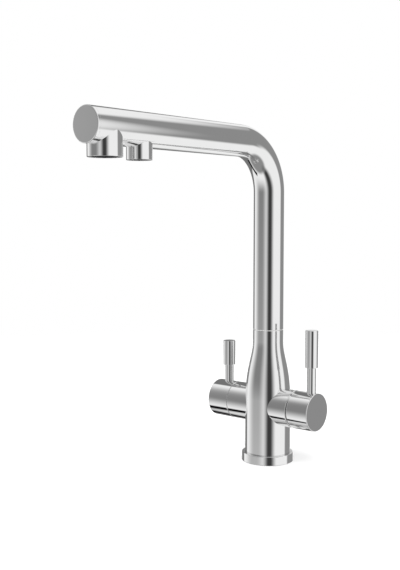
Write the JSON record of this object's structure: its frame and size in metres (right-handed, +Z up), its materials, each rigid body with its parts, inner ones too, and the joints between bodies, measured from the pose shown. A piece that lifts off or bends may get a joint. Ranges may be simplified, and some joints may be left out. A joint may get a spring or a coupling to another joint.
{
  "type": "three way filtered water tap",
  "caption": "Kitchen tap with an L-shaped swivel spout, separate mixed and filtered water outlets, a mixer lever and a filtered water lever.",
  "frame": {"origin": "centre of the base on the deck that the tap stands on", "axes": "+Z up along the body's axis; the spout points along -Y; the mixer hub and lever are on +X and the filtered water hub and lever on -X"},
  "size_m": [0.1214, 0.2646, 0.3295],
  "materials": {
    "chrome": "polished chrome plate on brass",
    "brass": "machined",
    "steel": "stainless, machined",
    "rubber": "matt black seal rubber",
    "ceramic": "lapped ceramic",
    "white_plastic": "moulded",
    "black_plastic": "moulded"
  },
  "bodies": {
    "body": {"base_flange": "chrome", "base_seal": "rubber", "body_shell": "chrome", "valve_core": "brass", "core_o_rings": "rubber", "filter_tube_o_ring": "rubber", "mixer_valve_sleeve": "chrome", "filter_valve_sleeve": "chrome", "spout_glide_ring": "white_plastic", "spout_locking_screw": "steel", "mixer_seal_plate": "rubber", "mixer_fixed_disc": "ceramic", "mixer_cartridge_shell": "white_plastic", "mixer_retaining_nut": "brass", "mixer_dome_cover": "chrome", "filter_valve_body": "brass", "filter_valve_seal": "rubber", "filter_fixed_disc": "ceramic"},
    "mixer_turret": {"mixer_carrier": "white_plastic", "mixer_pivot_pin": "steel"},
    "mixer_disc": {"mixer_moving_disc": "ceramic"},
    "mixer_handle": {"mixer_rod": "brass", "mixer_cap": "chrome", "mixer_lever_stem": "chrome", "mixer_lever_grip": "chrome", "mixer_grub_screw": "steel"},
    "filter_handle": {"filter_moving_disc": "ceramic", "filter_spindle": "brass", "filter_spindle_o_ring": "rubber", "filter_spindle_clip": "steel", "filter_cap": "chrome", "filter_lever_stem": "chrome", "filter_lever_grip": "chrome", "filter_grub_screw": "steel"},
    "spout": {"spout_tube": "chrome", "spout_end_disc": "chrome", "spout_base_bush": "brass", "spout_o_rings": "rubber", "filter_inner_tube": "white_plastic", "filter_outlet_elbow": "brass", "main_outlet_collar": "chrome", "filter_outlet_collar": "chrome", "main_aerator_housing": "steel", "main_aerator_insert": "black_plastic", "main_aerator_screen": "steel", "main_aerator_washer": "rubber", "filter_outlet_insert": "black_plastic", "filter_outlet_washer": "rubber"}
  },
  "joints": [
    {"name": "spout_swivel", "type": "hinge", "parent": "body", "child": "spout", "pos_m": [0, 0, 0.1315], "axis": [0, 0, 1], "continuous": true},
    {"name": "mixer_temperature", "type": "hinge", "parent": "body", "child": "mixer_turret", "pos_m": [0.02, 0, 0.0557], "axis": [1, 0, 0], "range_deg": [-45, 45]},
    {"name": "mixer_flow", "type": "hinge", "parent": "mixer_turret", "child": "mixer_handle", "pos_m": [0.02, 0, 0.0557], "axis": [0, 1, 0], "range_deg": [0, 20]},
    {"name": "mixer_disc_slide", "type": "slide", "parent": "mixer_turret", "child": "mixer_disc", "axis": [0, 0, 1], "range_m": [0, 0.0014]},
    {"name": "filter_flow", "type": "hinge", "parent": "body", "child": "filter_handle", "pos_m": [0, 0, 0.0557], "axis": [1, 0, 0], "range_deg": [0, 90]}
  ],
  "couplings": [
    {"joint": "mixer_disc_slide", "follows": "mixer_flow", "m_per_rad": 0.004}
  ]
}
